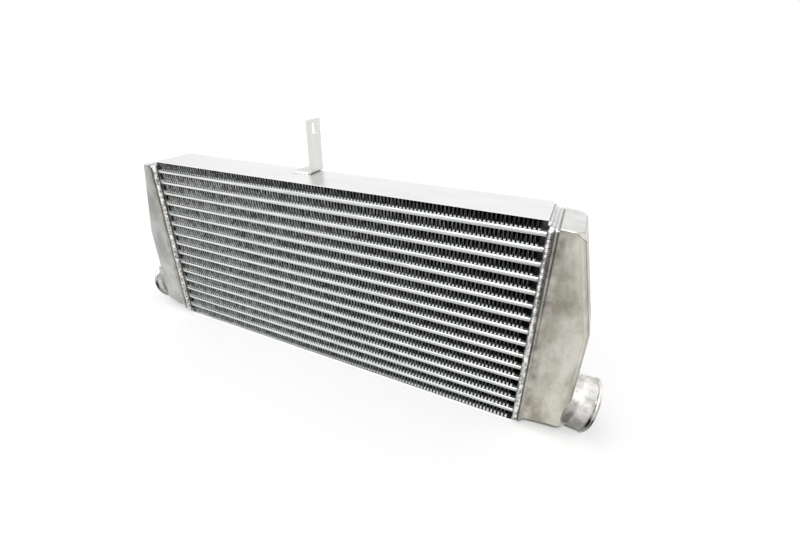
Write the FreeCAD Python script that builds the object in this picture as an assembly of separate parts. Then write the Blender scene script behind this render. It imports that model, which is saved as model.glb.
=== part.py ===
import FreeCAD, Part
import math
import os

# A bar-and-plate charge air cooler for the front of a car: a brazed core of charge tubes and folded
# air fins between two cast end tanks, with one mounting bracket welded on top.
# Millimetres. +X runs along the core, -Y is the face that the air enters, +Z is up.
# The origin is the centre of the core's underside, which the cooler stands on.

V = FreeCAD.Vector

# Core
CORE_LENGTH = 600.0         # between the flanges of the two end tanks
CORE_DEPTH = 67.0           # over the noses of the long bars
TUBE_COUNT = 15             # charge tubes, with one more air row than tubes
PASSAGE_HEIGHT = 4.4        # inside one charge tube, and the height of its long bars
SHEET = 0.5                 # parting sheet
AIR_HEIGHT = 12.9           # one air row
SIDE_PLATE = 1.3            # top and bottom cover plates
LONG_BAR_WIDTH = 6.0
BAR_NOSE = 1.0              # how far the nose of a long bar stands out of the sheets

# Folded sheet inside the air rows and the charge tubes
FIN_SHEET = 0.4
FIN_FOLDS = 30              # full waves along one air row
FIN_SETBACK = 1.5           # from the face of the core to the edge of the fin
FIN_END_GAP = 6.0           # from the tank flange to the last fold
TURBULATOR_SHEET = 0.4
TURBULATOR_FOLDS = 5        # full waves across one charge tube
TURBULATOR_SETBACK = 4.0    # from the end of the tube

# Cast end tank
SOCKET_DEPTH = 8.5          # how far the tubes reach into the flange
SOCKET_CLEARANCE = 0.2
FLANGE_LENGTH = 12.5        # along X
FLANGE_WALL_FACE = 6.5      # flange outside the core's faces
FLANGE_WALL_END = 7.7       # flange above the top tube and below the bottom one
FLANGE_CORNER = 6.0
BEVEL_DEPTH = 4.1           # what the weld bevel takes off the flange's edge
GROOVE_WIDTH = 2.0
GROOVE_DEPTH = 1.6
TANK_WALL = 4.5
SHOULDER_LENGTH = 7.0       # sloped band where the flange narrows to the tank's face
SHOULDER_DROP = 1.5         # from the flange to the root of the shoulder
SHOULDER_RISE = 1.9         # from the root of the shoulder to the tank's face
FACE_DRAFT = 0.012          # how fast the two faces close in, per mm along X
END_DRAFT = 0.10            # the same for the top and the underside
UNDER_STEP = 2.6            # from the flange's underside up to the body's
TANK_REACH = 52.5           # from the flange to the outer wall, below the kink
TANK_REACH_TOP = 24.0       # the same at the top
KINK_HEIGHT = 157.6         # above the underside of the core
OUTER_CORNER = 12.0
TOP_EDGE = 1.2              # small bevel around the top
UNDER_EDGE = 5.0            # the same around the underside

# Charge outlet, one on each tank
OUTLET_RADIUS = 34.9
OUTLET_WALL = 3.0
OUTLET_HEIGHT = 40.7        # axis above the underside of the core, at the tank's outer wall
OUTLET_LENGTH = 25.8        # along its axis, from the tank's outer wall
OUTLET_TURN = 3.8           # degrees towards the rear
OUTLET_DROP = 11.7          # degrees below level, which leaves the bead just clear of the ground
ROOT_DEPTH = 14.0           # how far the full round reaches in behind the outer wall
ROOT_TAPER = 16.0           # length over which it then dies into the casting
ROOT_DROP = 11.0            # how much its radius loses over that length
BEAD_WIDTH = 4.2
BEAD_HEIGHT = 1.5
LIP = 0.8                   # plain end past the bead

# Weld beads
TANK_BEAD_CROWN = 0.9       # how far the tank weld stands above the flange
TOP_BEAD_LEG = 4.0          # weld leg beside the ends of the cover plates

# Bracket: one flat bar, bent once
BRACKET_X = -25.6           # outer face of the upright
BRACKET_WIDTH = 30.0
BRACKET_OVERHANG = 3.0      # past the core's rear face
BRACKET_SHEET = 3.2
BRACKET_HEIGHT = 74.5       # above the top cover plate
BRACKET_FOOT = 28.0
BRACKET_BEND = 1.6          # inner radius
BRACKET_CORNER = 1.5
SLOT_WIDTH = 9.0
SLOT_LENGTH = 17.0
SLOT_EDGE = 4.0             # from the end of the slot to the top of the bracket
BRACKET_BEAD = 3.0

# Worked out from the sizes above
TUBE_HEIGHT = PASSAGE_HEIGHT + 2 * SHEET
ROW_PITCH = TUBE_HEIGHT + AIR_HEIGHT
AIR_ROWS = TUBE_COUNT + 1
CORE_HEIGHT = 2 * SIDE_PLATE + TUBE_COUNT * TUBE_HEIGHT + AIR_ROWS * AIR_HEIGHT
FIRST_TUBE_Z = SIDE_PLATE + AIR_HEIGHT
LAST_TUBE_TOP = CORE_HEIGHT - FIRST_TUBE_Z
HALF_LENGTH = CORE_LENGTH / 2
HALF_DEPTH = CORE_DEPTH / 2
TUBE_END = HALF_LENGTH + SOCKET_DEPTH
FLANGE_END = HALF_LENGTH + FLANGE_LENGTH
FLANGE_HALF_DEPTH = HALF_DEPTH + FLANGE_WALL_FACE
TANK_BOTTOM = FIRST_TUBE_Z - FLANGE_WALL_END
TANK_TOP = LAST_TUBE_TOP + FLANGE_WALL_END
OUTER_WALL = FLANGE_END + TANK_REACH
TOP_OUTER_WALL = FLANGE_END + TANK_REACH_TOP


def box(x0, x1, y0, y1, z0, z1):
    return Part.makeBox(x1 - x0, y1 - y0, z1 - z0, V(x0, y0, z0))


def face_from(points):
    return Part.Face(Part.makePolygon(points + [points[0]]))


def mirrored(shape):
    """The same piece at the other end of the core."""
    return shape.mirror(V(0, 0, 0), V(1, 0, 0))


def save(node, shapes):
    solids = [solid for shape in shapes for solid in shape.Solids]
    Part.makeCompound(solids).exportStep("parts/" + node + ".step")


def zigzag(length, height, folds, sheet):
    """Outline of a folded sheet, with its folds along the first axis and its height along the second."""
    step = length / (2 * folds)
    leg = math.hypot(step, height)
    foot = sheet * leg / height
    bend = sheet * leg / step
    upper = [(0.0, 0.0)]
    lower = [(foot, 0.0)]
    for i in range(1, 2 * folds):
        at_top = i % 2 == 1
        upper.append((i * step, height if at_top else bend))
        lower.append((i * step, height - bend if at_top else 0.0))
    upper.append((length, 0.0))
    lower.append((length - foot, 0.0))
    return upper + lower[::-1]


def air_fin(row):
    """Folded sheet of one air row: its channels run through the core."""
    length = CORE_LENGTH - 2 * FIN_END_GAP
    z = SIDE_PLATE + row * ROW_PITCH
    front = -HALF_DEPTH + FIN_SETBACK
    outline = zigzag(length, AIR_HEIGHT, FIN_FOLDS, FIN_SHEET)
    points = [V(x - length / 2, front, z + up) for x, up in outline]
    return face_from(points).extrude(V(0, CORE_DEPTH - 2 * FIN_SETBACK, 0))


def turbulator(tube):
    """Folded sheet inside one charge tube: its channels run from tank to tank."""
    width = CORE_DEPTH - 2 * LONG_BAR_WIDTH
    start = -TUBE_END + TURBULATOR_SETBACK
    z = tube_z(tube) + SHEET
    outline = zigzag(width, PASSAGE_HEIGHT, TURBULATOR_FOLDS, TURBULATOR_SHEET)
    points = [V(start, y - width / 2, z + up) for y, up in outline]
    return face_from(points).extrude(V(-2 * start, 0, 0))


def tube_z(tube):
    return FIRST_TUBE_Z + tube * ROW_PITCH


def long_bar(z, side):
    """Bar that closes one long side of a charge tube, with a rounded nose."""
    nose = side * HALF_DEPTH
    edge = side * (HALF_DEPTH - BAR_NOSE)
    inner = side * (HALF_DEPTH - LONG_BAR_WIDTH)
    low = V(-TUBE_END, edge, z)
    high = V(-TUBE_END, edge, z + PASSAGE_HEIGHT)
    middle = V(-TUBE_END, nose, z + PASSAGE_HEIGHT / 2)
    inner_low = V(-TUBE_END, inner, z)
    inner_high = V(-TUBE_END, inner, z + PASSAGE_HEIGHT)
    edges = [
        Part.Arc(low, middle, high).toShape(),
        Part.LineSegment(high, inner_high).toShape(),
        Part.LineSegment(inner_high, inner_low).toShape(),
        Part.LineSegment(inner_low, low).toShape(),
    ]
    return Part.Face(Part.Wire(edges)).extrude(V(2 * TUBE_END, 0, 0))


def parting_sheet(z):
    edge = HALF_DEPTH - BAR_NOSE
    return box(-TUBE_END, TUBE_END, -edge, edge, z, z + SHEET)


def charge_tube(tube):
    """Two parting sheets, brazed to a long bar at the front and one at the rear."""
    z = tube_z(tube)
    bar_z = z + SHEET
    return [
        parting_sheet(z),
        parting_sheet(bar_z + PASSAGE_HEIGHT),
        long_bar(bar_z, -1),
        long_bar(bar_z, 1),
    ]


def end_bars():
    """Bars that close the air rows between the tubes, inside the right tank's flange."""
    bars = []
    for row in range(1, AIR_ROWS - 1):
        z = SIDE_PLATE + row * ROW_PITCH
        edge = HALF_DEPTH - BAR_NOSE
        bars.append(box(HALF_LENGTH, TUBE_END, -edge, edge, z, z + AIR_HEIGHT))
    return bars


def side_plate(z):
    return box(-HALF_LENGTH, HALF_LENGTH, -HALF_DEPTH, HALF_DEPTH, z, z + SIDE_PLATE)


def frame_wire(x, grow):
    """Rounded rectangle across the core at x: the flange's outline, grown by a margin."""
    half = FLANGE_HALF_DEPTH + grow
    low = TANK_BOTTOM - grow
    high = TANK_TOP + grow
    corner = max(FLANGE_CORNER + grow, 1.0)
    slack = corner * (1 - math.sqrt(0.5))
    edges = []
    for side_y, side_z in ((-1, -1), (1, -1), (1, 1), (-1, 1)):
        outer_z = low if side_z < 0 else high
        on_face = V(x, side_y * half, outer_z - side_z * corner)
        on_end = V(x, side_y * (half - corner), outer_z)
        middle = V(x, side_y * (half - slack), outer_z - side_z * slack)
        enters_on_face = side_y * side_z > 0
        first = on_face if enters_on_face else on_end
        last = on_end if enters_on_face else on_face
        edges.append((first, middle, last))
    pieces = []
    for i, (first, middle, last) in enumerate(edges):
        pieces.append(Part.Arc(first, middle, last).toShape())
        pieces.append(Part.LineSegment(last, edges[(i + 1) % 4][0]).toShape())
    return Part.Wire(pieces)


def frame_loft(sections):
    """Ring-shaped outside through (x, margin) pairs."""
    return Part.makeLoft([frame_wire(x, grow) for x, grow in sections], True, True)


def flange_outside():
    """Flange of the right tank: weld bevel, plain land, and the groove before the tank's body."""
    groove_start = FLANGE_END - GROOVE_WIDTH
    bevelled = frame_loft([(HALF_LENGTH, -BEVEL_DEPTH), (TUBE_END, 0.0)])
    land = frame_loft([(TUBE_END, 0.0), (groove_start, 0.0)])
    groove = frame_loft([(groove_start, -GROOVE_DEPTH), (FLANGE_END, -GROOVE_DEPTH)])
    return bevelled.fuse([land, groove])


def face_y(x, inset):
    """Half depth of the tank's body at x."""
    root = FLANGE_HALF_DEPTH - SHOULDER_DROP
    crest_x = FLANGE_END + SHOULDER_LENGTH
    crest = root - SHOULDER_RISE
    if x < crest_x:
        return root - SHOULDER_RISE * (x - FLANGE_END) / SHOULDER_LENGTH - inset
    return crest - FACE_DRAFT * (x - crest_x) - inset


def tank_outline(inset):
    """Side view of the tank's body: an upright outer wall, then a slanted one up to the top."""
    wall = OUTER_WALL - inset
    low = TANK_BOTTOM + UNDER_STEP + inset
    high = TANK_TOP - inset
    rise = END_DRAFT * (wall - FLANGE_END)
    lean = math.atan2(OUTER_WALL - TOP_OUTER_WALL, TANK_TOP - KINK_HEIGHT)
    kink = KINK_HEIGHT - inset * math.tan(lean / 2)
    top = (high - kink - rise) / (1 - END_DRAFT * math.tan(lean))
    return [
        V(FLANGE_END, 0, low),
        V(wall, 0, low + rise),
        V(wall, 0, kink),
        V(wall - top * math.tan(lean), 0, kink + top),
        V(FLANGE_END, 0, high),
    ]


def tank_body(inset):
    """The tank's outside, or its cavity when it is set in by the wall."""
    side = V(0, FLANGE_HALF_DEPTH, 0)
    block = face_from([point - side for point in tank_outline(inset)]).extrude(side * 2)
    crest_x = FLANGE_END + SHOULDER_LENGTH
    stations = [FLANGE_END, crest_x, OUTER_WALL]
    front = [V(x, -face_y(x, inset), 0) for x in stations]
    rear = [V(x, face_y(x, inset), 0) for x in reversed(stations)]
    plan = face_from(front + rear).extrude(V(0, 0, CORE_HEIGHT))
    body = block.common(plan).removeSplitter()
    corners = [edge for edge in body.Edges if is_outer_corner(edge)]
    return body.makeFillet(OUTER_CORNER - inset, corners)


def is_outer_corner(edge):
    """Upright or slanted edge between a face of the tank and its outer wall."""
    middle = edge.CenterOfMass
    rises = edge.BoundBox.ZLength > edge.BoundBox.XLength
    return rises and edge.BoundBox.YLength < 2 and middle.x > FLANGE_END + SHOULDER_LENGTH + 1


def level_edges(body, z_sign):
    """Edges around the top (+1) or the underside (-1) of the tank's body, away from the flange."""
    chosen = []
    for face in body.Faces:
        if isinstance(face.Surface, Part.Plane) and face.normalAt(0, 0).z * z_sign > 0.9:
            for edge in face.Edges:
                if edge.CenterOfMass.x > FLANGE_END + 0.5:
                    chosen.append(edge)
    return chosen


def placed_outlet(shape):
    """Moves a shape built along +X from the origin onto the axis of the right outlet."""
    foot = V(OUTER_WALL, 0, OUTLET_HEIGHT)
    turn = FreeCAD.Rotation(OUTLET_TURN, OUTLET_DROP, 0)
    return shape.transformed(FreeCAD.Placement(foot, turn).toMatrix())


def outlet_outside():
    """Outlet pipe with a rolled bead at its mouth and a root that dies into the casting."""
    back = -ROOT_DEPTH - ROOT_TAPER
    bead_end = OUTLET_LENGTH - LIP
    bead_start = bead_end - BEAD_WIDTH
    crest = OUTLET_RADIUS + BEAD_HEIGHT
    profile = [
        (back, 0.0),
        (back, OUTLET_RADIUS - ROOT_DROP),
        (-ROOT_DEPTH, OUTLET_RADIUS),
        (bead_start, OUTLET_RADIUS),
        (bead_start + BEAD_WIDTH / 3, crest),
        (bead_end - BEAD_WIDTH / 3, crest),
        (bead_end, OUTLET_RADIUS),
        (OUTLET_LENGTH, OUTLET_RADIUS),
        (OUTLET_LENGTH, 0.0),
    ]
    half = face_from([V(along, 0, radius) for along, radius in profile])
    return placed_outlet(half.revolve(V(0, 0, 0), V(1, 0, 0), 360))


def outlet_bore():
    radius = OUTLET_RADIUS - OUTLET_WALL
    length = ROOT_DEPTH + OUTLET_LENGTH
    return placed_outlet(Part.makeCylinder(radius, length, V(-ROOT_DEPTH, 0, 0), V(1, 0, 0)))


def end_tank():
    """Right end tank, one hollow casting: flange with a socket for the tubes, body and outlet."""
    body = tank_body(0.0)
    body = body.makeChamfer(TOP_EDGE, level_edges(body, 1))
    body = body.makeChamfer(UNDER_EDGE, level_edges(body, -1))
    outside = body.fuse([flange_outside(), outlet_outside()])
    cavity = tank_body(TANK_WALL)
    mouth_half = HALF_DEPTH - LONG_BAR_WIDTH
    mouth = box(
        TUBE_END, FLANGE_END + SHOULDER_LENGTH,
        -mouth_half, mouth_half,
        FIRST_TUBE_Z + SHEET, LAST_TUBE_TOP - SHEET,
    )
    socket = box(
        HALF_LENGTH, TUBE_END,
        -HALF_DEPTH - SOCKET_CLEARANCE, HALF_DEPTH + SOCKET_CLEARANCE,
        FIRST_TUBE_Z - SOCKET_CLEARANCE, LAST_TUBE_TOP + SOCKET_CLEARANCE,
    )
    return outside.cut([cavity, mouth, socket, outlet_bore()])


def tank_bead():
    """Weld around the right flange: it fills the bevel and closes the ends of the outer air rows."""
    crown = TANK_BEAD_CROWN
    width = TUBE_END - HALF_LENGTH
    bead = frame_loft([
        (HALF_LENGTH, -2 * crown),
        (HALF_LENGTH + 0.4 * width, crown),
        (TUBE_END, 0.0),
    ])
    lid_low = TANK_TOP
    lid_high = CORE_HEIGHT - SIDE_PLATE
    lid = face_from([
        V(HALF_LENGTH, -HALF_DEPTH, lid_low),
        V(HALF_LENGTH + TOP_BEAD_LEG, -HALF_DEPTH, lid_low),
        V(HALF_LENGTH + 0.4 * TOP_BEAD_LEG, -HALF_DEPTH, lid_low + 0.7 * (lid_high - lid_low)),
        V(HALF_LENGTH, -HALF_DEPTH, lid_high),
    ]).extrude(V(0, CORE_DEPTH, 0))
    under = lid.mirror(V(0, 0, CORE_HEIGHT / 2), V(0, 0, 1))
    tubes = box(
        HALF_LENGTH, TUBE_END,
        -HALF_DEPTH - SOCKET_CLEARANCE, HALF_DEPTH + SOCKET_CLEARANCE,
        FIRST_TUBE_Z - SOCKET_CLEARANCE, LAST_TUBE_TOP + SOCKET_CLEARANCE,
    )
    return bead.fuse([lid, under]).cut([flange_outside(), tubes])


def bracket_span():
    rear = HALF_DEPTH + BRACKET_OVERHANG
    return rear - BRACKET_WIDTH, rear


def bracket():
    """Slotted flat bar, bent to an L: the foot lies on the top cover plate."""
    front, rear = bracket_span()
    outer_bend = BRACKET_BEND + BRACKET_SHEET
    heel_x = BRACKET_X
    toe_x = BRACKET_X - BRACKET_FOOT
    base = CORE_HEIGHT
    top = base + BRACKET_HEIGHT
    centre = V(heel_x - outer_bend, front, base + outer_bend)
    diagonal = V(math.sqrt(0.5), 0, -math.sqrt(0.5))
    outline = [
        Part.LineSegment(V(toe_x, front, base), V(centre.x, front, base)),
        Part.Arc(V(centre.x, front, base), centre + diagonal * outer_bend, V(heel_x, front, centre.z)),
        Part.LineSegment(V(heel_x, front, centre.z), V(heel_x, front, top)),
        Part.LineSegment(V(heel_x, front, top), V(heel_x - BRACKET_SHEET, front, top)),
        Part.LineSegment(V(heel_x - BRACKET_SHEET, front, top), V(heel_x - BRACKET_SHEET, front, centre.z)),
        Part.Arc(
            V(heel_x - BRACKET_SHEET, front, centre.z),
            centre + diagonal * BRACKET_BEND,
            V(centre.x, front, base + BRACKET_SHEET),
        ),
        Part.LineSegment(V(centre.x, front, base + BRACKET_SHEET), V(toe_x, front, base + BRACKET_SHEET)),
        Part.LineSegment(V(toe_x, front, base + BRACKET_SHEET), V(toe_x, front, base)),
    ]
    bar = Part.Face(Part.Wire([piece.toShape() for piece in outline])).extrude(V(0, rear - front, 0))
    corners = [edge for edge in bar.Edges if is_top_corner(edge, top)]
    bar = bar.makeFillet(BRACKET_CORNER, corners)
    return bar.cut(bracket_slot((front + rear) / 2, top))


def is_top_corner(edge, top):
    length_along_x = abs(edge.Vertexes[0].X - edge.Vertexes[-1].X)
    return abs(edge.CenterOfMass.z - top) < 1e-6 and length_along_x > BRACKET_SHEET / 2


def bracket_slot(y, top):
    """Upright slot with round ends, through the bracket."""
    radius = SLOT_WIDTH / 2
    high = top - SLOT_EDGE - radius
    low = top - SLOT_EDGE - SLOT_LENGTH + radius
    start = BRACKET_X - 2 * BRACKET_SHEET
    depth = 3 * BRACKET_SHEET
    ends = [Part.makeCylinder(radius, depth, V(start, y, z), V(1, 0, 0)) for z in (low, high)]
    middle = box(start, start + depth, y - radius, y + radius, low, high)
    return middle.fuse(ends)


def bracket_bead():
    """Fillet weld along the front and the toe of the bracket's foot."""
    front, rear = bracket_span()
    leg = BRACKET_BEAD
    toe = BRACKET_X - BRACKET_FOOT
    heel = BRACKET_X - BRACKET_BEND - BRACKET_SHEET
    base = CORE_HEIGHT
    crown = 0.6 * leg
    front_run = face_from([
        V(toe - leg, front, base),
        V(toe - leg, front - leg, base),
        V(toe - leg, front - crown, base + crown),
        V(toe - leg, front, base + leg),
    ]).extrude(V(heel - toe + leg, 0, 0))
    toe_run = face_from([
        V(toe, front - leg, base),
        V(toe - leg, front - leg, base),
        V(toe - crown, front - leg, base + crown),
        V(toe, front - leg, base + leg),
    ]).extrude(V(0, HALF_DEPTH - front + leg, 0))
    return front_run.fuse(toe_run).removeSplitter()


def main():
    os.makedirs("parts", exist_ok=True)
    save("side_plate_bottom", [side_plate(0.0)])
    save("side_plate_top", [side_plate(CORE_HEIGHT - SIDE_PLATE)])
    for row in range(AIR_ROWS):
        save("air_fin_%02d" % (row + 1), [air_fin(row)])
    for tube in range(TUBE_COUNT):
        save("charge_tube_%02d" % (tube + 1), charge_tube(tube))
        save("turbulator_%02d" % (tube + 1), [turbulator(tube)])
    bars = end_bars()
    save("end_bars_right", bars)
    save("end_bars_left", [mirrored(bar) for bar in bars])
    tank = end_tank()
    save("end_tank_right", [tank])
    save("end_tank_left", [mirrored(tank)])
    bead = tank_bead()
    save("tank_weld_right", [bead])
    save("tank_weld_left", [mirrored(bead)])
    save("bracket", [bracket()])
    save("bracket_weld", [bracket_bead()])


main()
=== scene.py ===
import math
import random

import bmesh
import bpy
from mathutils import Matrix, Vector, noise as solid_noise


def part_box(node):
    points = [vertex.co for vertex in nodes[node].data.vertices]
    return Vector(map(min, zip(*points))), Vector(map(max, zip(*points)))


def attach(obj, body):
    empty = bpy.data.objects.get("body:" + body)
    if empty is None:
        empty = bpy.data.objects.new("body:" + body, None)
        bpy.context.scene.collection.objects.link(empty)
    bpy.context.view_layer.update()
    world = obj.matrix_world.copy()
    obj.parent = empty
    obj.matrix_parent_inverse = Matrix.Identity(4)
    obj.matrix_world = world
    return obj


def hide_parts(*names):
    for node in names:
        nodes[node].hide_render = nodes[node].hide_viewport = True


# Metres, in the part's own frame: +X along the core, -Y the face that the air enters, +Z up.
MM = 0.001

# Camera, as the photograph was taken
PHOTO_WIDTH = 800
PHOTO_HEIGHT = 533
FOCAL_PIXELS = 407.5
CENTRE_PIXEL = (385.45, 257.65)
CAMERA_PLACE = Vector((0.3189, -0.4649, 0.44327))
CAMERA_FORWARD = Vector((-0.3889, 0.8067, -0.4453))
SENSOR = 36.0

# Core rows and folded air fins
AIR_ROWS = 16
CHARGE_TUBES = 15
SIDE_PLATE = 1.3 * MM
ROW_PITCH = 18.3 * MM
AIR_HEIGHT = 12.9 * MM
CORE_END = 300.0 * MM
FOLD_PITCH = 4.9 * MM
FOLD_SWAY = 0.3 * MM         # how far a fold may stand off its place
CREST_HALF = 0.35 * MM       # half width of a fold's rounded top, and its height
CREST_RISE = 0.7 * MM
TROUGH_HALF = 1.25 * MM      # the same of the wider trough between two tops
TROUGH_RISE = 1.2 * MM
BEND_STEPS = 6
FIN_SHEET = 0.35 * MM
FIN_FACE = 31.8 * MM         # from the core's middle to the folds' front edges
FIN_END_GAP = 6.0 * MM       # from the last fold to the core's end

# Painted light along the core, left to right, a painted shadow edge on the bars, and painted shade in the
# top row of fins, matched to the light in the photograph
BAR_PAINTED_LIGHT = (1.16, 0.86)
BAR_PAINTED_LIGHT_RANGE = (-250.0 * MM, 290.0 * MM)
BAR_SHADOW = (0.8 * MM, 0.0)
BAR_SHADOW_RANGE = (-250.0 * MM, 50.0 * MM)
FIN_PAINTED_LIGHT = (3.0, 0.35)
FIN_PAINTED_LIGHT_RANGE = (-290.0 * MM, 290.0 * MM)
TOP_ROW_PAINTED_SHADE = (1.0, 0.6)
TOP_ROW = (274.0 * MM, 278.0 * MM)

# End tanks, right side
FLANGE_CORNER = 6.0 * MM
OUTER_WALL = 365.0 * MM
KINK_HEIGHT = 157.6 * MM
WALL_LEAN = 0.2264                      # of the wall above the kink, inwards per unit of height
WELD_TOE = 308.5 * MM
GROOVE = (310.9 * MM, 312.1 * MM)       # painted shade in the groove between the flange and the body
TOP_GAP = (311.4 * MM, 312.2 * MM)      # the same painted shade line across the top
SHOULDER = (317.0 * MM, 322.0 * MM)     # where the grey beside the flange fades
END_WALL_HALF = (26.0 * MM, 28.6 * MM)  # where the flat end wall gives way to its rounded corners
TOP_EDGE = (282.6 * MM, 283.4 * MM)     # where the painted pale top light begins
UNDER_TOP = (281.4 * MM, 282.2 * MM)    # fine painted dark line of shade below it
CAP_REACH = 14.0 * MM                   # width over which the top's painted light runs down the outer corner
CAP_CURVE = 65.0
CAST_SHARP = 24.0                       # degrees

# Outlet: its axis from the outer wall, as in the solids
OUTLET_RADIUS = 34.9 * MM
OUTLET_WALL = 3.0 * MM
OUTLET_HEIGHT = 40.7 * MM
OUTLET_LENGTH = 25.8 * MM
OUTLET_TURN = math.radians(3.8)
OUTLET_DROP = math.radians(11.7)
OUTLET_ROOT = 14.0 * MM
BEAD_WIDTH = 4.2 * MM
BEAD_HEIGHT = 1.5 * MM
BEAD_STEPS = 10
OUTLET_LIP = 0.8 * MM
OUTLET_SIDES = 96

# Surround and floor. A strength of 1 is white
SURROUND = 0.6
FLOOR_REACH = 6.0
FLOOR_DROP = 0.2 * MM
FLOOR_TONE = 0.785
FLOOR_GLOW = (0.0, 0.3)      # near the part and far from it
GLOW_REACH = (0.5, 1.6)

# Lamps: the direction of the distant one, and the place, target, size and power of each soft one
KEY_TOWARDS = (0.05, -0.62, 0.78)
KEY_STRENGTH = 2.25
KEY_SPREAD = 6.0             # degrees
SOFTBOXES = {
    "overhead": ((0.0, -0.75, 1.8), (0.0, 0.0, 0.15), (2.4, 1.2), 8.0),
    "rear": ((-0.6, 2.2, 1.1), (0.0, 0.0, 0.2), (3.4, 1.2), 1.0),
    "front_right": ((1.4, -1.3, 0.9), (0.1, 0.0, 0.12), (1.0, 1.0), 2.5),
}

# Weld beads
RIPPLE_PITCH = 2.5 * MM
RIPPLE_HEIGHT = 0.75 * MM
ALONG_STEP = 0.45 * MM
WELD_SHARP = 80.0            # degrees
FLANGE_WELD_WIDTH = 6.6 * MM
FLANGE_WELD_POINTS = 1580    # around the flange
FLANGE_WELD_STEPS = 9        # across the bead
FLANGE_WELD_CREST = 0.55 * MM
FLANGE_WELD_WANDER = 0.35 * MM
HIDDEN_LEG = (-5.2 * MM, 4.2 * MM)      # start of the bead's buried foot, and its rise across the bead
PLATE_WELD_HALF = 33.2 * MM
PLATE_WELD_WIDTH = 4.0 * MM
PLATE_WELD_SINK = 0.9 * MM
FILLET_STEPS = 7

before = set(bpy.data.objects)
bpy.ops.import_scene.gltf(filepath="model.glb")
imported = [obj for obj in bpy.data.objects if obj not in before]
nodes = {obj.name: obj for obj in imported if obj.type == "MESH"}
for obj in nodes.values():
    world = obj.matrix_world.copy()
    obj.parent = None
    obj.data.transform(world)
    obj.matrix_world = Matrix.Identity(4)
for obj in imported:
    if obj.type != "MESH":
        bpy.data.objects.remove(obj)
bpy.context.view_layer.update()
rng = random.Random(7)


def link(mesh, name, materials):
    piece = bpy.data.objects.new(name, mesh)
    bpy.context.scene.collection.objects.link(piece)
    kept = [face.material_index for face in mesh.polygons]
    mesh.materials.clear()
    for material in materials:
        mesh.materials.append(material)
    mesh.polygons.foreach_set("material_index", kept)
    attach(piece, "root")
    return piece


def smooth_shaded(mesh, sharp_degrees=30.0):
    mesh.polygons.foreach_set("use_smooth", [True] * len(mesh.polygons))
    mesh.set_sharp_from_angle(angle=math.radians(sharp_degrees))
    mesh.update()
    return mesh


def weighted_normals(mesh, sharp_degrees):
    """Normals weighted by area, so that flat faces stay flat beside their rounded edges."""
    around = [[] for _ in mesh.vertices]
    for face in mesh.polygons:
        for corner in face.vertices:
            around[corner].append(face)
    limit = math.cos(math.radians(sharp_degrees))
    normals = []
    for face in mesh.polygons:
        for corner in face.vertices:
            total = Vector()
            for other in around[corner]:
                if other.normal.dot(face.normal) > limit:
                    total += other.normal * other.area
            normals.append(total.normalized())
    mesh.normals_split_custom_set(normals)


def mesh_from(name, verts, faces):
    mesh = bpy.data.meshes.new(name)
    mesh.from_pydata(verts, [], faces)
    mesh.update()
    return mesh


def welded_copy(node, name):
    """Copy of a node's mesh with its doubled vertices joined."""
    mesh = nodes[node].data.copy()
    mesh.name = name
    form = bmesh.new()
    form.from_mesh(mesh)
    bmesh.ops.remove_doubles(form, verts=form.verts, dist=1e-6)
    form.to_mesh(mesh)
    form.free()
    return mesh


def grid_faces(rows, columns, closed_rows=False):
    """Quads of a grid whose vertices run row by row."""
    faces = []
    for i in range(rows if closed_rows else rows - 1):
        start = i * columns
        after = (i + 1) % rows * columns
        for j in range(columns - 1):
            faces.append((start + j, after + j, after + j + 1, start + j + 1))
    return faces


# Materials

def node_material(name, metallic=0.0):
    material = bpy.data.materials.new(name)
    material.use_nodes = True
    shader = material.node_tree.nodes["Principled BSDF"]
    shader.inputs["Metallic"].default_value = metallic
    return material, material.node_tree, shader


def add(tree, kind, **values):
    node = tree.nodes.new(kind)
    for key, value in values.items():
        setattr(node, key, value)
    return node


def math_node(tree, operation, *sources):
    """Arithmetic on sockets and plain numbers."""
    node = add(tree, "ShaderNodeMath", operation=operation)
    for socket, source in zip(node.inputs, sources):
        if isinstance(source, (int, float)):
            socket.default_value = source
        else:
            tree.links.new(source, socket)
    return node.outputs[0]


def product(tree, *sources):
    """All the sources multiplied together."""
    total = sources[0]
    for source in sources[1:]:
        total = math_node(tree, "MULTIPLY", total, source)
    return total


def size_of(tree, coordinate):
    return math_node(tree, "ABSOLUTE", coordinate)


def place(tree):
    """The three coordinates in the part's own metres."""
    source = add(tree, "ShaderNodeTexCoord")
    split = add(tree, "ShaderNodeSeparateXYZ")
    tree.links.new(source.outputs["Object"], split.inputs[0])
    return split.outputs


def facing(tree, normal):
    """The three parts of the surface's direction, flat or as shaded."""
    source = add(tree, "ShaderNodeNewGeometry")
    split = add(tree, "ShaderNodeSeparateXYZ")
    tree.links.new(source.outputs[normal], split.inputs[0])
    return split.outputs


def noise(tree, scale, detail=4.0, rough=0.55, stretch=None):
    """Noise in the part's own metres, stretched along an axis where a finish has a direction."""
    where = add(tree, "ShaderNodeTexCoord")
    source = where.outputs["Object"]
    if stretch:
        mapping = add(tree, "ShaderNodeMapping")
        mapping.inputs["Scale"].default_value = stretch
        tree.links.new(source, mapping.inputs["Vector"])
        source = mapping.outputs["Vector"]
    texture = add(tree, "ShaderNodeTexNoise")
    texture.inputs["Scale"].default_value = scale
    texture.inputs["Detail"].default_value = detail
    texture.inputs["Roughness"].default_value = rough
    tree.links.new(source, texture.inputs["Vector"])
    return texture.outputs["Fac"]


def ramp(tree, source, *stops):
    """Colours placed along a texture or a coordinate: (position, colour) pairs."""
    node = add(tree, "ShaderNodeValToRGB")
    elements = node.color_ramp.elements
    while len(elements) < len(stops):
        elements.new(0.5)
    for element, (position, colour) in zip(elements, stops):
        element.position = position
        element.color = (*colour, 1.0)
    tree.links.new(source, node.inputs["Fac"])
    return node.outputs["Color"]


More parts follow.
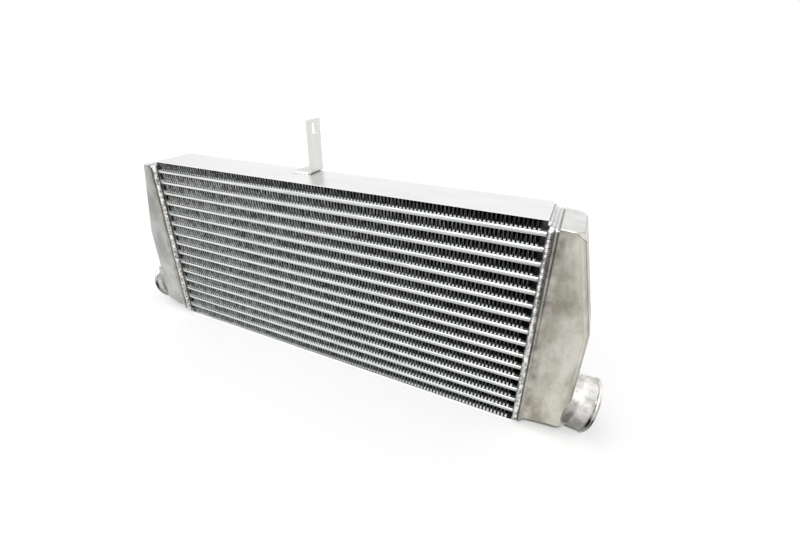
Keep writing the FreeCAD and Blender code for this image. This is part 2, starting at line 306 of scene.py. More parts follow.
def spread(tree, source, low, high, start=0.0, end=1.0):
    node = add(tree, "ShaderNodeMapRange")
    node.inputs["From Min"].default_value = start
    node.inputs["From Max"].default_value = end
    node.inputs["To Min"].default_value = low
    node.inputs["To Max"].default_value = high
    tree.links.new(source, node.inputs["Value"])
    return node.outputs["Result"]


def shade(tree, colour, factor):
    """A colour made darker or lighter by a factor."""
    node = add(tree, "ShaderNodeVectorMath", operation="SCALE")
    tree.links.new(colour, node.inputs[0])
    tree.links.new(factor, node.inputs["Scale"])
    return node.outputs[0]


def blend(tree, factor, first, second):
    """The first colour where the factor is 0 and the second where it is 1."""
    node = add(tree, "ShaderNodeMix", data_type="RGBA")
    tree.links.new(factor, node.inputs["Factor"])
    tree.links.new(first, node.inputs[6])
    tree.links.new(second, node.inputs[7])
    return node.outputs[2]


def finish(tree, shader, colour, roughness):
    tree.links.new(colour, shader.inputs["Base Color"])
    tree.links.new(roughness, shader.inputs["Roughness"])


def bump(tree, shader, layers, eased=None):
    """Stacked bumps, (height source, strength, distance), over edges eased by a small radius."""
    normal = None
    if eased:
        edge = add(tree, "ShaderNodeBevel", samples=6)
        edge.inputs["Radius"].default_value = eased
        normal = edge.outputs["Normal"]
    for source, strength, distance in layers:
        node = add(tree, "ShaderNodeBump")
        node.inputs["Strength"].default_value = strength
        node.inputs["Distance"].default_value = distance
        tree.links.new(source, node.inputs["Height"])
        if normal:
            tree.links.new(normal, node.inputs["Normal"])
        normal = node.outputs["Normal"]
    tree.links.new(normal, shader.inputs["Normal"])


def band(tree, coordinate, start, end, soft):
    """1 inside a band of a coordinate and 0 outside it, with soft ends."""
    rises = spread(tree, coordinate, 0.0, 1.0, start - soft, start)
    falls = spread(tree, coordinate, 1.0, 0.0, end, end + soft)
    return product(tree, rises, falls)


def corner_painted_shading(tree, from_wall):
    """Painted shade and light across a tank's rounded outer corner: dark rim, grey and pale strips, and a
    fine line, for the shading of its rounding.
    """
    rim = spread(tree, from_wall, 0.22, 0.96, 0.4 * MM, 1.4 * MM)
    strip = spread(tree, from_wall, 0.88, 1.0, 2.6 * MM, 3.6 * MM)
    inside = spread(tree, from_wall, 1.0, 0.93, 5.4 * MM, 6.4 * MM)
    line = spread(tree, band(tree, from_wall, 5.6 * MM, 6.0 * MM, 0.5 * MM), 1.0, 0.82)
    return product(tree, rim, strip, inside, line)


def inside_outer_wall(tree, along, z):
    """Distance inwards from the tank's outer wall, which leans above its kink."""
    above_kink = math_node(tree, "MAXIMUM", math_node(tree, "SUBTRACT", z, KINK_HEIGHT), 0.0)
    wall = math_node(tree, "SUBTRACT", OUTER_WALL, product(tree, above_kink, WALL_LEAN))
    return math_node(tree, "SUBTRACT", wall, along)


def capped_height(tree, z, from_wall):
    """Height that grows towards the outer corner, so that the painted light of the top and the painted
    shade line below it run down around it.
    """
    rounding = math_node(tree, "MAXIMUM", math_node(tree, "SUBTRACT", CAP_REACH, from_wall), 0.0)
    return math_node(tree, "ADD", z, product(tree, rounding, rounding, CAP_CURVE))


def flange_painted_shade(tree, along, z, crease_shade):
    """Painted shade in the groove beside the flange and along the toe of the weld."""
    groove = band(tree, along, *GROOVE, 0.9 * MM)
    groove = product(tree, groove, spread(tree, z, 0.0, 0.85, 110 * MM, 230 * MM))
    toe = product(tree, band(tree, along, CORE_END, WELD_TOE, 0.5 * MM), 0.85)
    return spread(tree, math_node(tree, "MAXIMUM", groove, toe), 1.0, 1.0 - crease_shade)


def painted_top_light(tree, along, upwards):
    """Painted light of a tank's top: pale, painted darker at its rounded edge against the highlight there,
    with a painted shade line along the flange's line across it.
    """
    tone = noise(tree, 70.0, detail=5.0)
    pale = ramp(tree, tone, (0.35, (0.64, 0.64, 0.63)), (0.65, (0.74, 0.74, 0.73)))
    gap = spread(tree, band(tree, along, *TOP_GAP, 0.8 * MM), 1.0, 0.45)
    edge = spread(tree, band(tree, upwards, 0.3, 0.85, 0.08), 1.0, 0.72)
    return shade(tree, pale, product(tree, gap, edge))


def cast_aluminium(name, tones, crease_shade):
    """Satin sand-cast skin, mottled and greyer beside the flange, with painted light and shade: lighter low
    down, a painted pale top, painted shade in the grooves and across the outer corner.
    """
    material, tree, shader = node_material(name, 1.0)
    x, y, z = place(tree)
    along = size_of(tree, x)
    _, sideways, upwards = facing(tree, "True Normal")

    patches = noise(tree, 24.0, detail=6.0, rough=0.62, stretch=(1.0, 1.0, 0.55))
    warm = ramp(tree, patches, (0.38, tones[0]), (0.50, tones[1]), (0.62, tones[2]))
    tone = noise(tree, 60.0, detail=5.0)
    grey = ramp(tree, tone, (0.35, (0.25, 0.237, 0.208)), (0.65, (0.52, 0.498, 0.45)))
    on_front = spread(tree, size_of(tree, sideways), 0.0, 1.0, 0.3, 0.5)
    colour = blend(tree, product(tree, on_front, spread(tree, along, 1.0, 0.0, *SHOULDER)), warm, grey)
    # Painted reflection of the floor: lighter low down, darker high up.
    colour = shade(tree, colour, spread(tree, z, 1.14, 0.9, 50 * MM, 250 * MM))
    colour = shade(tree, colour, flange_painted_shade(tree, along, z, crease_shade))

    from_wall = inside_outer_wall(tree, along, z)
    end_wall = spread(tree, size_of(tree, y), 0.92, 0.0, *END_WALL_HALF)
    colour = shade(tree, colour, math_node(tree, "MAXIMUM", corner_painted_shading(tree, from_wall), end_wall))
    level = capped_height(tree, z, from_wall)
    # Painted shade: a fine dark line below the top edge.
    colour = shade(tree, colour, spread(tree, band(tree, level, *UNDER_TOP, 0.5 * MM), 1.0, 0.62))
    # Painted light: the top, and a strip down around the outer corner, takes the pale top tone.
    on_top = spread(tree, upwards, 0.0, 1.0, 0.45, 0.7)
    on_top = math_node(tree, "MAXIMUM", on_top, spread(tree, level, 0.0, 0.6, *TOP_EDGE))
    colour = blend(tree, on_top, colour, painted_top_light(tree, along, upwards))

    finish(tree, shader, colour, spread(tree, noise(tree, 120.0), 0.38, 0.56))
    grain = (noise(tree, 1100.0, detail=5.0), 0.4, 0.12 * MM)
    waves = (noise(tree, 45.0, detail=3.0), 0.4, 1.0 * MM)
    bump(tree, shader, [grain, waves], eased=0.7 * MM)
    return material


def along_outlet(tree, x, y, z):
    """Distance along the outlet's axis from the tank's outer wall."""
    out = product(tree, math_node(tree, "SUBTRACT", size_of(tree, x), OUTER_WALL),
                  math.cos(OUTLET_TURN) * math.cos(OUTLET_DROP))
    across = product(tree, y, math.sin(OUTLET_TURN) * math.cos(OUTLET_DROP))
    down = product(tree, math_node(tree, "SUBTRACT", z, OUTLET_HEIGHT), -math.sin(OUTLET_DROP))
    return math_node(tree, "ADD", math_node(tree, "ADD", out, across), down)


def bead_painted_reflection(tree, reach, y, z):
    """Painted dark reflection on the front of the outlet's bead, parted by a painted light line along its
    crest.
    """
    bead = spread(tree, reach, 0.0, 1.0, OUTLET_LENGTH - 7.8 * MM, OUTLET_LENGTH - 5.4 * MM)
    crest = band(tree, reach, OUTLET_LENGTH - 3.4 * MM, OUTLET_LENGTH - 3.0 * MM, 0.4 * MM)
    height = band(tree, z, 33 * MM, 42 * MM, 9 * MM)
    front = spread(tree, y, 1.0, 0.0, -16 * MM, -10 * MM)
    return product(tree, bead, math_node(tree, "SUBTRACT", 1.0, crest), height, front)


def turned_aluminium():
    """Bright handled skin of the outlet, with painted shade: darker below and at its root, a painted
    lighter top, and a painted dark reflection on its bead.
    """
    material, tree, shader = node_material("turned_aluminium", 1.0)
    x, y, z = place(tree)
    dull, plain, clean = (0.35, 0.335, 0.305), (0.53, 0.52, 0.50), (0.66, 0.65, 0.635)
    tone = noise(tree, 55.0, detail=6.0, rough=0.65)
    colour = ramp(tree, tone, (0.38, dull), (0.5, plain), (0.62, clean))

    reach = along_outlet(tree, x, y, z)
    # Painted shade in the crease at the outlet's root, stronger low down.
    root = spread(tree, reach, 0.7, 0.0, 0.5 * MM, 4.0 * MM)
    root = product(tree, root, spread(tree, z, 1.0, 0.2, 34 * MM, 60 * MM))
    outlet_painted_shade = math_node(tree, "MAXIMUM", bead_painted_reflection(tree, reach, y, z), root)
    colour = shade(tree, colour, spread(tree, outlet_painted_shade, 1.0, 0.06))
    # Painted reflection: darker below, lighter on top.
    colour = shade(tree, colour, spread(tree, z, 0.46, 1.0, 20 * MM, 48 * MM))
    colour = shade(tree, colour, spread(tree, z, 1.0, 1.5, 62 * MM, 71 * MM))

    finish(tree, shader, colour, spread(tree, noise(tree, 80.0, detail=5.0), 0.20, 0.46))
    bump(tree, shader, [(noise(tree, 130.0, detail=4.0), 0.35, 0.35 * MM)])
    return material


def core_bar():
    """Drawn bar and brazed sheet: painted lighter to the left, bright where it shows, and painted shade,
    nearly black, where it runs back into the core.
    """
    material, tree, shader = node_material("core_bar", 0.85)
    x, y, _ = place(tree)
    depth = size_of(tree, y)
    streak = noise(tree, 70.0, stretch=(0.3, 3.0, 3.0))
    bright = ramp(tree, streak, (0.3, (0.52, 0.535, 0.52)), (0.7, (0.66, 0.675, 0.655)))
    # Painted light: brighter to the left, darker to the right.
    bright = shade(tree, bright, spread(tree, x, *BAR_PAINTED_LIGHT, *BAR_PAINTED_LIGHT_RANGE))

    # Painted shade behind the folds' front edges, with a painted shadow edge set deeper towards the left;
    # beside the core's ends the painted shade starts deeper in.
    shadow = spread(tree, x, *BAR_SHADOW, *BAR_SHADOW_RANGE)
    past_shadow = math_node(tree, "SUBTRACT", depth, shadow)
    lit_before_fins = spread(tree, past_shadow, 0.02, 1.0, FIN_FACE, FIN_FACE + 0.5 * MM)
    past_fins = math_node(tree, "GREATER_THAN", size_of(tree, x), CORE_END - FIN_END_GAP)
    lit_in_end_gap = product(tree, past_fins, spread(tree, depth, 0.0, 1.0, 27.0 * MM, 30.0 * MM))
    colour = shade(tree, bright, math_node(tree, "MAXIMUM", lit_before_fins, lit_in_end_gap))

    finish(tree, shader, colour, spread(tree, noise(tree, 320.0), 0.34, 0.52))
    bump(tree, shader, [(noise(tree, 600.0, stretch=(0.3, 1.0, 1.0)), 0.25, 0.12 * MM)])
    return material


def fold_walls(tree, inwards, in_row, bright, reach, edge_bright):
    """Painted shade on the folds' sides: bright at the core's face, painted darker further in and near the
    row's top under the bar; the cut edges keep a tone of their own.
    """
    face = 0.35 * reach
    dark = 0.16 * bright
    near = spread(tree, inwards, bright, dark, 0.0, face)
    far = spread(tree, inwards, dark, 0.01, face, reach)
    far = math_node(tree, "ADD", far, spread(tree, inwards, 1.0, 0.0, 0.0, face))
    walls = math_node(tree, "MINIMUM", near, far)
    walls = product(tree, walls, spread(tree, in_row, 1.0, 0.25, 0.4 * AIR_HEIGHT, AIR_HEIGHT))
    cut_edge = spread(tree, inwards, edge_bright, 0.0, -0.05 * MM, 0.05 * MM)
    return math_node(tree, "MAXIMUM", walls, cut_edge)


def fin_side(name, bright, reach, trough_bright, edge_bright):
    """One side of the folded sheet: worn walls, painted paler to the left and darker in the top row, and
    troughs painted bright near the face where they catch the light.
    """
    material, tree, shader = node_material(name)
    x, y, z = place(tree)
    inwards = math_node(tree, "SUBTRACT", FIN_FACE, size_of(tree, y))
    in_row = math_node(tree, "MODULO", math_node(tree, "SUBTRACT", z, SIDE_PLATE), ROW_PITCH)
    worn = noise(tree, 210.0, detail=2.0, rough=0.6, stretch=(1.0, 0.4, 0.6))
    # Painted shade deeper in and under each bar, painted light to the left, painted shade in the top row,
    # and worn patches.
    walls = product(
        tree,
        fold_walls(tree, inwards, in_row, bright, reach, edge_bright),
        spread(tree, x, *FIN_PAINTED_LIGHT, *FIN_PAINTED_LIGHT_RANGE),
        spread(tree, z, *TOP_ROW_PAINTED_SHADE, *TOP_ROW),
        spread(tree, worn, 0.5, 1.6, 0.36, 0.64),
    )
    # Painted light on the troughs: full tone near the face, painted dark further in.
    trough = product(
        tree,
        spread(tree, in_row, 1.0, 0.0, 1.0 * MM, 2.3 * MM),
        spread(tree, inwards, trough_bright, 0.0, 2.5 * MM, 6.5 * MM),
    )
    tone = noise(tree, 90.0, detail=5.0)
    colour = ramp(tree, tone, (0.3, (0.72, 0.755, 0.73)), (0.7, (0.90, 0.94, 0.91)))
    colour = shade(tree, colour, math_node(tree, "MAXIMUM", walls, trough))

    tree.links.new(spread(tree, trough, 0.9, 0.0), shader.inputs["Metallic"])
    finish(tree, shader, colour, spread(tree, noise(tree, 250.0), 0.35, 0.6))
    bump(tree, shader, [(noise(tree, 700.0), 0.25, 0.05 * MM)])
    return material


def cover_sheet():
    material, tree, shader = node_material("cover_sheet", 1.0)
    tone = noise(tree, 24.0, detail=5.0, stretch=(0.4, 1.0, 1.0))
    colour = ramp(tree, tone, (0.3, (0.76, 0.77, 0.76)), (0.7, (0.84, 0.845, 0.84)))
    finish(tree, shader, colour, spread(tree, noise(tree, 90.0), 0.24, 0.34))
    grain = (noise(tree, 400.0), 0.15, 0.1 * MM)
    waves = (noise(tree, 14.0, detail=1.0), 0.3, 0.5 * MM)
    bump(tree, shader, [grain, waves])
    return material


def weld_metal():
    """Rough weld bead: speckled in front, with painted shade along the flange near its upper end and a
    painted pale top.
    """
    material, tree, shader = node_material("weld_metal", 1.0)
    x, _, z = place(tree)
    along = size_of(tree, x)
    speckle = noise(tree, 260.0, detail=5.0)
    colour = ramp(tree, speckle, (0.38, (0.16, 0.16, 0.15)), (0.62, (0.88, 0.88, 0.86)))
    # Painted shade in the gap beside the flange, towards the bead's upper end.
    beside_flange = spread(tree, along, 0.0, 0.8, 303.4 * MM, 304.6 * MM)
    gap_painted_shade = product(tree, beside_flange, spread(tree, z, 0.0, 1.0, 110 * MM, 200 * MM))
    colour = shade(tree, colour, math_node(tree, "SUBTRACT", 1.0, gap_painted_shade))

    # Painted light on the top: pale where the bead faces up, with painted shade in the notch by the core's
    # end.
    patches = noise(tree, 150.0, detail=4.0)
    pale = ramp(tree, patches, (0.32, (0.45, 0.45, 0.44)), (0.44, (0.76, 0.76, 0.75)))
    notch_painted_shade = spread(tree, band(tree, along, 300.2 * MM, 300.9 * MM, 0.4 * MM), 1.0, 0.4)
    on_top = spread(tree, facing(tree, "Normal")[2], 0.0, 1.0, 0.2, 0.6)
    colour = blend(tree, on_top, colour, shade(tree, pale, notch_painted_shade))

    finish(tree, shader, colour, spread(tree, noise(tree, 350.0), 0.28, 0.5))
    bump(tree, shader, [(noise(tree, 900.0), 0.3, 0.1 * MM)])
    return material


def bar_stock():
    material, tree, shader = node_material("bar_stock", 1.0)
    tone = noise(tree, 40.0, stretch=(1.0, 1.0, 0.2))
    colour = ramp(tree, tone, (0.3, (0.63, 0.63, 0.605)), (0.7, (0.74, 0.74, 0.715)))
    finish(tree, shader, colour, spread(tree, noise(tree, 200.0), 0.32, 0.5))
    bump(tree, shader, [(noise(tree, 500.0, stretch=(1.0, 1.0, 0.15)), 0.2, 0.1 * MM)], eased=0.4 * MM)
    return material


WARM_TONES = ((0.30, 0.284, 0.232), (0.46, 0.443, 0.386), (0.62, 0.60, 0.536))
GREY_TONES = ((0.36, 0.36, 0.345), (0.46, 0.46, 0.445), (0.57, 0.57, 0.555))
CAST = {
    "right": cast_aluminium("cast_right", WARM_TONES, 0.8),
    "left": cast_aluminium("cast_left", GREY_TONES, 0.6),
}
TURNED = turned_aluminium()
BAR = core_bar()
# The fin sheet's upper side as lit, and its underside a copy with painted shade, nearly black.
FIN = fin_side("fin_sheet", 0.24, 4.0 * MM, 1.0, 0.34)
FIN_PAINTED_SHADE_UNDERSIDE = fin_side("fin_underside_painted_shade", 0.05, 4.0 * MM, 0.05, 0.0)
COVER = cover_sheet()
WELD = weld_metal()
STOCK = bar_stock()


def finish_node(name, material):
    mesh = nodes[name].data
    mesh.materials.clear()
    mesh.materials.append(material)


# Air fins

def bend(centre, crest, half, rise, sign):
    """Rounded top (sign 1) or trough (sign -1) of a fold, in X and Z."""
    points = []
    for step in range(BEND_STEPS + 1):
        angle = math.pi * step / BEND_STEPS
        height = crest - sign * rise * (1 - math.sin(angle))
        points.append((centre - half * math.cos(angle), height))
    return points


def fold_line(length, height):
    """Middle line of one folded sheet in X and Z: narrow tops and wider troughs, joined by leaning legs."""
    count = round(length / FOLD_PITCH)
    pitch = length / count
    points = []
    for fold in range(count):
        start = -length / 2 + fold * pitch
        sway = rng.uniform(-FOLD_SWAY, FOLD_SWAY) if fold else 0.0
        crest = start + CREST_HALF
        points += bend(crest + sway, height - FIN_SHEET / 2, CREST_HALF, CREST_RISE, 1)
        points += bend(crest + pitch / 2, FIN_SHEET / 2, TROUGH_HALF, TROUGH_RISE, -1)
    return points


def sheet_mesh(name, line, front, rear, base_z, thickness):
    """A thin sheet that follows a line in X and Z and runs through the core from front to rear."""
    verts = []
    for i, (x, z) in enumerate(line):
        before = line[max(i - 1, 0)]
        after = line[min(i + 1, len(line) - 1)]
        along = Vector((after[0] - before[0], after[1] - before[1])).normalized()
        side = Vector((-along.y, along.x)) * thickness / 2
        for y in (front, rear):
            verts.append((x + side.x, y, base_z + z + side.y))
            verts.append((x - side.x, y, base_z + z - side.y))
    faces = []
    undersides = []
    last = len(line) - 1
    for i in range(last):
        a = 4 * i
        b = a + 4
        faces.append((a, b, b + 2, a + 2))
        faces.append((a, a + 1, b + 1, b))
        faces.append((a + 2, b + 2, b + 3, a + 3))
        undersides.append((a + 1, a + 3, b + 3, b + 1))
    faces.append((0, 2, 3, 1))
    end = 4 * last
    faces.append((end, end + 1, end + 3, end + 2))
    mesh = mesh_from(name, verts, faces + undersides)
    for face in mesh.polygons[len(faces):]:
        face.material_index = 1
    return mesh


def air_fins():
    for row in range(1, AIR_ROWS + 1):
        node = "air_fin_%02d" % row
        low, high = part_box(node)
        line = fold_line(high.x - low.x, high.z - low.z)
        mesh = sheet_mesh(node + "_folds", line, low.y, high.y, low.z, FIN_SHEET)
        piece = link(smooth_shaded(mesh, 50.0), node + "_folds", (FIN, FIN_PAINTED_SHADE_UNDERSIDE))
        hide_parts(node)


# End tanks

def outlet_frame(side):
    """Foot, axis and two cross directions of one outlet, with side +1 on the right."""
    turn = Matrix.Rotation(OUTLET_TURN, 3, "Z") @ Matrix.Rotation(OUTLET_DROP, 3, "Y")
    foot = Vector((side * OUTER_WALL, 0.0, OUTLET_HEIGHT))
    axes = [turn @ Vector(axis) for axis in ((1, 0, 0), (0, 1, 0), (0, 0, 1))]
    for axis in axes:
        axis.x *= side
    return foot, *axes


def outlet_profile():
    """Outside of the outlet as (distance along its axis, radius): root, pipe, rolled bead and lip."""
    bead_end = OUTLET_LENGTH - OUTLET_LIP
    bead_start = bead_end - BEAD_WIDTH
    profile = [
        (-OUTLET_ROOT, OUTLET_RADIUS),
        (0.3 * bead_start, OUTLET_RADIUS),
        (bead_start - 1.2 * MM, OUTLET_RADIUS),
        (bead_start - 0.4 * MM, OUTLET_RADIUS - 0.35 * MM),
    ]
    for step in range(BEAD_STEPS + 1):
        angle = math.pi * step / BEAD_STEPS
        across = bead_start + BEAD_WIDTH * (1 - math.cos(angle)) / 2
        profile.append((across, OUTLET_RADIUS + BEAD_HEIGHT * math.sin(angle)))
    profile.append((OUTLET_LENGTH - 0.5 * MM, OUTLET_RADIUS - 0.1 * MM))
    profile.append((OUTLET_LENGTH, OUTLET_RADIUS - 0.7 * MM))
    profile.append((OUTLET_LENGTH, OUTLET_RADIUS - OUTLET_WALL))
    return profile


def outlet(side, word):
    foot, axis, across, up = outlet_frame(side)
    profile = outlet_profile()
    verts = []
    for turn in range(OUTLET_SIDES):
        angle = 2 * math.pi * turn / OUTLET_SIDES
        out = across * math.cos(angle) + up * math.sin(angle)
        for along, radius in profile:
            verts.append(foot + axis * along + out * radius)
    faces = grid_faces(OUTLET_SIDES, len(profile), closed_rows=True)
    mesh = mesh_from("outlet_" + word, verts, faces)
    if side > 0:
        mesh.flip_normals()
    piece = link(smooth_shaded(mesh, 40.0), "outlet_" + word, (TURNED,))
    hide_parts("end_tank_" + word)


def is_outlet_skin(face, foot, axis):
    """True for the outside and the mouth of the plain pipe, which the turned pipe stands for."""
    centre = face.calc_center_median() - foot
    along = centre.dot(axis)
    radius = (centre - axis * along).length
    outside = OUTLET_RADIUS - 0.4 * MM < radius < OUTLET_RADIUS + BEAD_HEIGHT + 0.5 * MM
    mouth = along > OUTLET_LENGTH - 0.1 * MM
    normal_across = abs(face.normal.dot(axis)) < 0.75
    return mouth or (outside and along > -OUTLET_ROOT and normal_across)


def casting(side, word):
    """The tank's own form without the skin of its outlet."""
    node = "end_tank_" + word
    foot, axis = outlet_frame(side)[:2]
    mesh = welded_copy(node, node + "_casting")
    form = bmesh.new()
    form.from_mesh(mesh)
    skin = [face for face in form.faces if is_outlet_skin(face, foot, axis)]
    bmesh.ops.delete(form, geom=skin, context="FACES")
    form.to_mesh(mesh)
    form.free()
    smooth_shaded(mesh, CAST_SHARP)
    weighted_normals(mesh, CAST_SHARP)
    piece = link(mesh, mesh.name, (CAST[word],))
    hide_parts(node)


# Bracket

def eased_bracket():
    mesh = welded_copy("bracket", "bracket_bar")
    piece = link(smooth_shaded(mesh), mesh.name, (STOCK,))
    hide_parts("bracket")


# Welds

def point_along(rest, runs, corner):
    """Point and outward direction at a distance along rounded corners and the straights after them."""
    arc = corner * math.pi / 2
    for centre_y, centre_z, start, straight in runs:
        if rest < arc + straight:
            angle = math.radians(start) + min(rest, arc) / corner
            out_y = math.cos(angle)
            out_z = math.sin(angle)
            past = max(rest - arc, 0.0)
            y = centre_y + corner * out_y - out_z * past
            z = centre_z + corner * out_z + out_y * past
            return y, z, out_y, out_z
        rest -= arc + straight


def around_flange(top, bottom, half, count):
    """Points and outward directions along the flange's rounded outline, in Y and Z."""
    corner = FLANGE_CORNER
    width = 2 * (half - corner)
    height = top - bottom - 2 * corner
    runs = (
        (half - corner, bottom + corner, -90.0, height),
        (half - corner, top - corner, 0.0, width),
        (corner - half, top - corner, 90.0, height),
        (corner - half, bottom + corner, 180.0, width),
    )
    total = 2 * width + 2 * height + 2 * math.pi * corner
    return [point_along(total * i / count, runs, corner) for i in range(count)], total


def ripple(distance, across):
    """Height of a weld's crescent ripples, between 0 and 1 times their strength."""
    phase = distance / RIPPLE_PITCH + 0.4 * (2 * across - 1) ** 2
    strength = 0.75 + 0.35 * solid_noise.noise(Vector((math.floor(phase) * 1.7, 3.0, 0.5)))
    return strength * (0.5 + 0.5 * math.cos(2 * math.pi * phase)) ** 0.8


def flange_weld(side, word):
    """Bead around the flange, from the core's end to just short of the flange's edge."""
    node = "tank_weld_" + word
    low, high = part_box(node)
    tank_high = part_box("end_tank_" + word)[1]
    start = min(abs(low.x), abs(high.x))
    bottom = high.z + low.z - tank_high.z
    count = FLANGE_WELD_POINTS
    steps = FLANGE_WELD_STEPS
    path, total = around_flange(tank_high.z, bottom, tank_high.y, count)
    verts = []
    for i, (y, z, out_y, out_z) in enumerate(path):
        distance = total * i / count
        wander = FLANGE_WELD_WANDER * solid_noise.noise(Vector((distance * 90.0, side * 5.0, 0.0)))
        for j in range(steps + 1):
            across = j / steps
            dome = math.sin(math.pi * across) ** 0.7
            foot = HIDDEN_LEG[0] + HIDDEN_LEG[1] * across ** 0.6
            lift = foot + (FLANGE_WELD_CREST - foot) * dome * 0.92
            lift -= RIPPLE_HEIGHT * dome * (1 - ripple(distance, across))
            x = start + FLANGE_WELD_WIDTH * across + wander * dome
            verts.append((side * x, y + out_y * lift, z + out_z * lift))
    mesh = mesh_from(node + "_bead", verts, grid_faces(count, steps + 1, closed_rows=True))
    if side < 0:
        mesh.flip_normals()
    piece = link(smooth_shaded(mesh, WELD_SHARP), mesh.name, (WELD,))
    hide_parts(node)


def run_bead(name, start, end, first, second, profile, node):
    """Straight rippled bead; its profile is given along two directions and fades at both ends."""
    length = (end - start).length
    along = (end - start).normalized()
    count = max(int(length / ALONG_STEP), 8)
    columns = len(profile)
    verts = []
    for i in range(count + 1):
        distance = length * i / count
        tip = min(distance, length - distance) / (2.0 * MM)
        scale = math.sqrt(min(tip, 1.0)) * 0.9 + 0.1
        for j, (a, b) in enumerate(profile):
            across = j / (columns - 1)
            sink = RIPPLE_HEIGHT * math.sin(math.pi * across) * (1 - ripple(distance, across))
            point = Vector((a, b))
            point *= (1 - sink / max(point.length, 0.1 * MM)) * scale
            verts.append(start + along * distance + first * point.x + second * point.y)
    faces = grid_faces(count + 1, columns)
    faces.append(tuple(range(columns)))
    faces.append(tuple(count * columns + j for j in reversed(range(columns))))
    mesh = mesh_from(name, verts, faces)
    form = bmesh.new()
    form.from_mesh(mesh)
    bmesh.ops.recalc_face_normals(form, faces=form.faces)
    form.to_mesh(mesh)
    form.free()
    piece = link(smooth_shaded(mesh, WELD_SHARP), name, (WELD,))
    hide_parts(node)


def quarter(width, height):
    """Rounded profile of a fillet weld, from its toe on the first leg to its toe on the second."""
    points = []
    for step in range(FILLET_STEPS + 1):
        angle = math.pi / 2 * step / FILLET_STEPS
        points.append((width * math.cos(angle) ** 0.85, height * math.sin(angle) ** 0.85))
    return points


def plate_end_welds(side, word):
    """Welds that close the outer air rows, between the ends of the cover plates and the flange."""
    node = "tank_weld_" + word
    low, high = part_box(node)
    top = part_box("end_tank_" + word)[1].z
    x = side * min(abs(low.x), abs(high.x))
    profile = quarter(PLATE_WELD_WIDTH, high.z - top - PLATE_WELD_SINK)
    for name, z, up in (("upper", top, 1.0), ("lower", high.z + low.z - top, -1.0)):
        ends = [Vector((x, y, z)) for y in (-PLATE_WELD_HALF, PLATE_WELD_HALF)]
        run_bead(node + "_" + name, *ends, Vector((side, 0, 0)), Vector((0, 0, up)), profile, node)


def bracket_weld():
    """Fillets along the front and the toe of the bracket's foot."""
    node = "bracket_weld"
    low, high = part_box(node)
    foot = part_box("bracket")[0]
    leg = foot.x - low.x
    profile = quarter(leg, leg)
    up = Vector((0, 0, 1))
    front = (Vector((low.x + 1.0 * MM, foot.y, low.z)), Vector((high.x, foot.y, low.z)))
    toe = (Vector((foot.x, low.y + 0.6 * MM, low.z)), Vector((foot.x, high.y, low.z)))
    run_bead("bracket_weld_front", *front, Vector((0, -1, 0)), up, profile, node)
    run_bead("bracket_weld_toe", *toe, Vector((-1, 0, 0)), up, profile, node)


# Stage, light and camera

def seen_directly(tree):
    """1 for camera, glossy and transmission rays."""
    rays = add(tree, "ShaderNodeLightPath").outputs
    mirrored = math_node(tree, "MAXIMUM", rays["Is Glossy Ray"], rays["Is Transmission Ray"])
    return math_node(tree, "MAXIMUM", rays["Is Camera Ray"], mirrored)


def white_floor():
    """White floor that keeps a soft shadow, with a glow of its own far from the part."""
    material, tree, shader = node_material("white_floor")
    shader.inputs["Base Color"].default_value = (FLOOR_TONE, FLOOR_TONE, FLOOR_TONE, 1.0)
    shader.inputs["Roughness"].default_value = 0.9
    shader.inputs["Specular IOR Level"].default_value = 0.0
    shader.inputs["Emission Color"].default_value = (1.0, 1.0, 1.0, 1.0)
    x, y, _ = place(tree)
    away = math_node(tree, "ADD", product(tree, x, x), product(tree, y, y))
    away = math_node(tree, "POWER", away, 0.5)
    glow = product(tree, spread(tree, away, *FLOOR_GLOW, *GLOW_REACH), seen_directly(tree))
    tree.links.new(glow, shader.inputs["Emission Strength"])
    return material


def stage():
    reach = FLOOR_REACH
    corners = [(-reach, -reach, 0), (reach, -reach, 0), (reach, reach, 0), (-reach, reach, 0)]
    mesh = mesh_from("floor", corners, [(0, 1, 2, 3)])
    mesh.materials.append(white_floor())
    floor = bpy.data.objects.new("floor", mesh)
    floor.location.z = -FLOOR_DROP
    bpy.context.scene.collection.objects.link(floor)


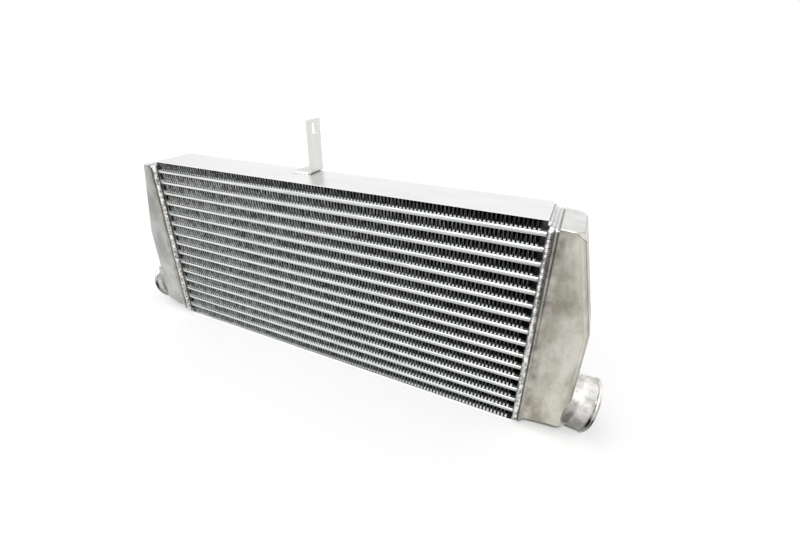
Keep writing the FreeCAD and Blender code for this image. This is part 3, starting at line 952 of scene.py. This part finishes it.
def surround():
    """White where it is seen or mirrored, and dimmer as a light."""
    world = bpy.data.worlds.new("surround")
    bpy.context.scene.world = world
    world.use_nodes = True
    tree = world.node_tree
    background = tree.nodes["Background"]
    background.inputs["Color"].default_value = (1.0, 1.0, 1.0, 1.0)
    strength = spread(tree, seen_directly(tree), SURROUND, 1.0)
    tree.links.new(strength, background.inputs["Strength"])


def lamp(name, kind, energy):
    data = bpy.data.lights.new(name, kind)
    data.energy = energy
    shown = bpy.data.objects.new(name, data)
    bpy.context.scene.collection.objects.link(shown)
    return shown


def softbox(name, where, target, size, power):
    shown = lamp(name, "AREA", power)
    shown.data.shape = "RECTANGLE"
    shown.data.size, shown.data.size_y = size
    shown.location = where
    shown.rotation_euler = (Vector(target) - Vector(where)).to_track_quat("-Z", "Y").to_euler()


def key_light():
    """Distant light that reaches the floors of the air channels from above and in front."""
    shown = lamp("key", "SUN", KEY_STRENGTH)
    shown.data.angle = math.radians(KEY_SPREAD)
    shown.rotation_euler = Vector(KEY_TOWARDS).to_track_quat("Z", "Y").to_euler()


def camera():
    data = bpy.data.cameras.new("camera")
    data.sensor_width = SENSOR
    data.lens = FOCAL_PIXELS / PHOTO_WIDTH * SENSOR
    data.shift_x = (PHOTO_WIDTH / 2 - CENTRE_PIXEL[0]) / PHOTO_WIDTH
    data.shift_y = (CENTRE_PIXEL[1] - PHOTO_HEIGHT / 2) / PHOTO_WIDTH
    data.clip_start = 0.02
    seen = bpy.data.objects.new("camera", data)
    seen.location = CAMERA_PLACE
    seen.rotation_euler = CAMERA_FORWARD.to_track_quat("-Z", "Y").to_euler()
    bpy.context.scene.collection.objects.link(seen)
    bpy.context.scene.camera = seen


air_fins()
for tube in range(1, CHARGE_TUBES + 1):
    finish_node("charge_tube_%02d" % tube, BAR)
    finish_node("turbulator_%02d" % tube, FIN)
for side, word in ((-1, "left"), (1, "right")):
    finish_node("end_bars_" + word, FIN)
    casting(side, word)
    outlet(side, word)
    flange_weld(side, word)
    plate_end_welds(side, word)
for word in ("bottom", "top"):
    finish_node("side_plate_" + word, COVER)
eased_bracket()
bracket_weld()

stage()
surround()
key_light()
for name, setting in SOFTBOXES.items():
    softbox(name, *setting)
camera()
bpy.context.scene.view_settings.view_transform = "Standard"
